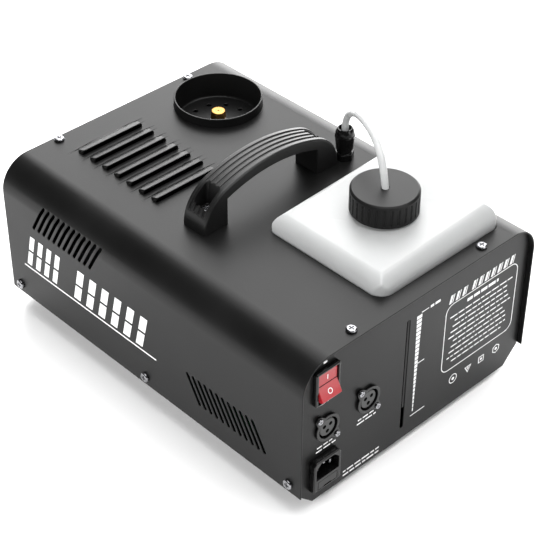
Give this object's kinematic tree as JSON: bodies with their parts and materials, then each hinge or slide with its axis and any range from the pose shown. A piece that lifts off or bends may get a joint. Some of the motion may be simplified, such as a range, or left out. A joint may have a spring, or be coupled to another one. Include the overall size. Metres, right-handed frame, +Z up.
{
  "type": "fog machine",
  "caption": "Box-shaped fog machine: upright nozzle in a round cup, louvres, arched handle, drop-in tank with a hose, and a rear panel with switch, sockets and inlet.",
  "frame": {"origin": "on the ground plane, below the middle of the housing's box (the free hose left out)", "axes": "+X along the housing to its rear control panel, +Y across it to the nozzle's side, +Z up"},
  "size_m": [0.3635, 0.2682, 0.2216],
  "materials": {
    "black_paint": "satin black powder coat",
    "zinc_steel": "zinc plated",
    "black_screws": "black oxide, satin",
    "black_rubber": "matt",
    "foam": "matt",
    "satin_black_plastic": "satin",
    "gloss_black_plastic": "gloss",
    "grey_plastic": "satin",
    "red_plastic": "gloss, lightly translucent",
    "tank_plastic": "satin, translucent",
    "hose_silicone": "smooth, translucent",
    "brass": "turned",
    "cast_aluminium": "as cast",
    "copper_winding": "enamelled wire",
    "circuit_board": "solder mask",
    "board_plastic": "moulded",
    "glass": "clear"
  },
  "bodies": {
    "housing": {"cover": "black_paint", "base_tray": "black_paint", "tray_screws": "zinc_steel", "front_panel": "black_paint", "rear_panel": "black_paint", "cover_screws": "black_screws", "rubber_feet": "black_rubber", "foot_screws": "zinc_steel", "foot_nuts": "zinc_steel", "nozzle_cup": "black_paint", "nozzle": "brass", "heater_block": "cast_aluminium", "heater_element": "zinc_steel", "heater_inlet": "zinc_steel", "heater_brackets": "zinc_steel", "heat_shield": "zinc_steel", "thermostat": "gloss_black_plastic", "thermal_cutout": "gloss_black_plastic", "handle": "satin_black_plastic", "handle_screws": "zinc_steel", "handle_nuts": "zinc_steel", "tank_shelf": "zinc_steel", "tank_pad": "foam", "feed_hose": "hose_silicone", "suction_hose": "hose_silicone", "delivery_pipe": "zinc_steel", "gland_body": "gloss_black_plastic", "gland_nut": "gloss_black_plastic", "gland_seal": "black_rubber", "gland_locknut": "gloss_black_plastic", "switch_housing": "gloss_black_plastic", "switch_pivot": "zinc_steel", "switch_terminals": "zinc_steel", "socket_shell_a": "gloss_black_plastic", "socket_shell_b": "gloss_black_plastic", "socket_insert_a": "grey_plastic", "socket_insert_b": "grey_plastic", "socket_contacts": "zinc_steel", "socket_screws": "zinc_steel", "inlet_housing": "gloss_black_plastic", "inlet_pins": "zinc_steel", "pump_body": "gloss_black_plastic", "pump_coil": "copper_winding", "pump_frame": "zinc_steel", "pump_spring": "zinc_steel", "pump_bracket": "zinc_steel", "pump_mounts": "black_rubber", "control_board": "circuit_board", "board_parts": "board_plastic", "transformer": "zinc_steel", "board_standoffs": "zinc_steel"},
    "rocker": {"switch_rocker": "red_plastic"},
    "tank": {"tank": "tank_plastic", "dip_tube": "hose_silicone", "filter_weight": "brass"},
    "cap_seal": {"cap_liner": "foam"},
    "cap": {"tank_cap": "satin_black_plastic"},
    "drawer": {"fuse_drawer": "satin_black_plastic", "fuse": "glass"},
    "piston": {"pump_piston": "zinc_steel"}
  },
  "joints": [
    {"name": "power_switch", "type": "hinge", "parent": "housing", "child": "rocker", "pos_m": [0.1725, -0.1038, 0.123], "axis": [0, 1, 0], "range_deg": [0, 28]},
    {"name": "tank_lift", "type": "slide", "parent": "housing", "child": "tank", "axis": [0, 0, 1], "range_m": [0, 0.125], "deforming": ["feed_hose"]},
    {"name": "cap_rise", "type": "slide", "parent": "tank", "child": "cap_seal", "axis": [0, 0, 1], "range_m": [0, 0.006]},
    {"name": "cap_turn", "type": "hinge", "parent": "cap_seal", "child": "cap", "pos_m": [0.1013, 0.0352, 0.18], "axis": [0, 0, 1], "range_deg": [0, 540]},
    {"name": "fuse_drawer_slide", "type": "slide", "parent": "housing", "child": "drawer", "axis": [1, 0, 0], "range_m": [0, 0.015]},
    {"name": "pump_stroke", "type": "slide", "parent": "housing", "child": "piston", "axis": [1, 0, 0], "range_m": [-0.002, 0.002], "stiffness_N_per_m": 1200, "deforming": ["pump_spring"]}
  ],
  "couplings": [
    {"joint": "cap_rise", "follows": "cap_turn", "m_per_rad": 0.00063662}
  ]
}
